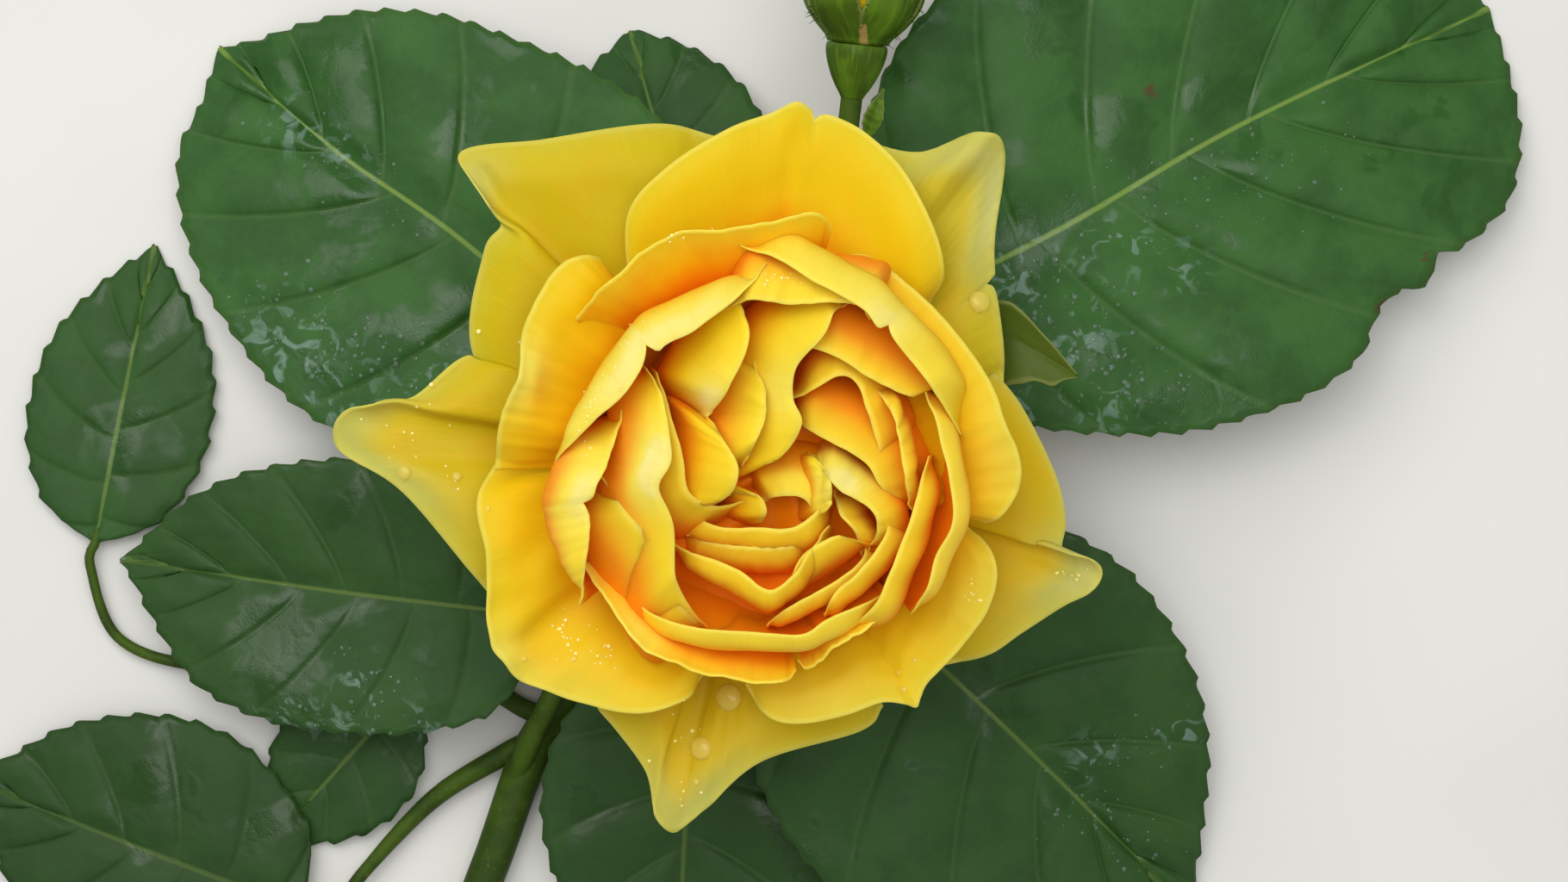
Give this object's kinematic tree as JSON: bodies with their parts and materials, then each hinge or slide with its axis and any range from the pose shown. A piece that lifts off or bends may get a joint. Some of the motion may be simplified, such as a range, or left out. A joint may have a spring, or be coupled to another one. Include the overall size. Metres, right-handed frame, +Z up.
{
  "type": "cut rose shoot with open bloom",
  "caption": "Cut shoot of a yellow garden rose lying on its leaves: a wide open ruffled bloom facing up, a side bud, broad toothed leaves and a short green cane.",
  "frame": {"origin": "bottom centre of the shoot's box, on the surface that it lies on", "axes": "+Z up, the way the bloom faces; +Y towards the bud; +X to the right, towards the largest leaf"},
  "size_m": [0.2232, 0.1794, 0.0662],
  "materials": {
    "petals": "satin, golden yellow with orange depths and lemon margins",
    "bud_petals": "satin yellow",
    "leaf_blade": "glossy wet deep green",
    "sepal": "matte green",
    "hip": "smooth fresh green",
    "stalk": "smooth green",
    "cane": "smooth green with a faint red flush"
  },
  "bodies": {
    "root": {"bloom": "petals", "bloom_stalk": "stalk", "bract": "sepal", "bud_hip": "hip", "bud_petals": "bud_petals", "bud_sepal_1": "sepal", "bud_sepal_2": "sepal", "bud_sepal_3": "sepal", "bud_sepal_4": "sepal", "bud_sepal_5": "sepal", "bud_stalk": "stalk", "cane": "cane", "hip": "hip", "leaf_bottom": "leaf_blade", "leaf_bottom_left": "leaf_blade", "leaf_far_left": "leaf_blade", "leaf_left": "leaf_blade", "leaf_low": "leaf_blade", "leaf_lower_right": "leaf_blade", "leaf_top": "leaf_blade", "leaf_upper_left": "leaf_blade", "leaf_upper_right": "leaf_blade", "sepal_1": "sepal", "sepal_2": "sepal", "sepal_3": "sepal", "sepal_4": "sepal", "sepal_5": "sepal", "stalk_low": "stalk", "stalk_main": "stalk", "stalk_outer": "stalk", "stalk_top": "stalk"}
  },
  "joints": []
}
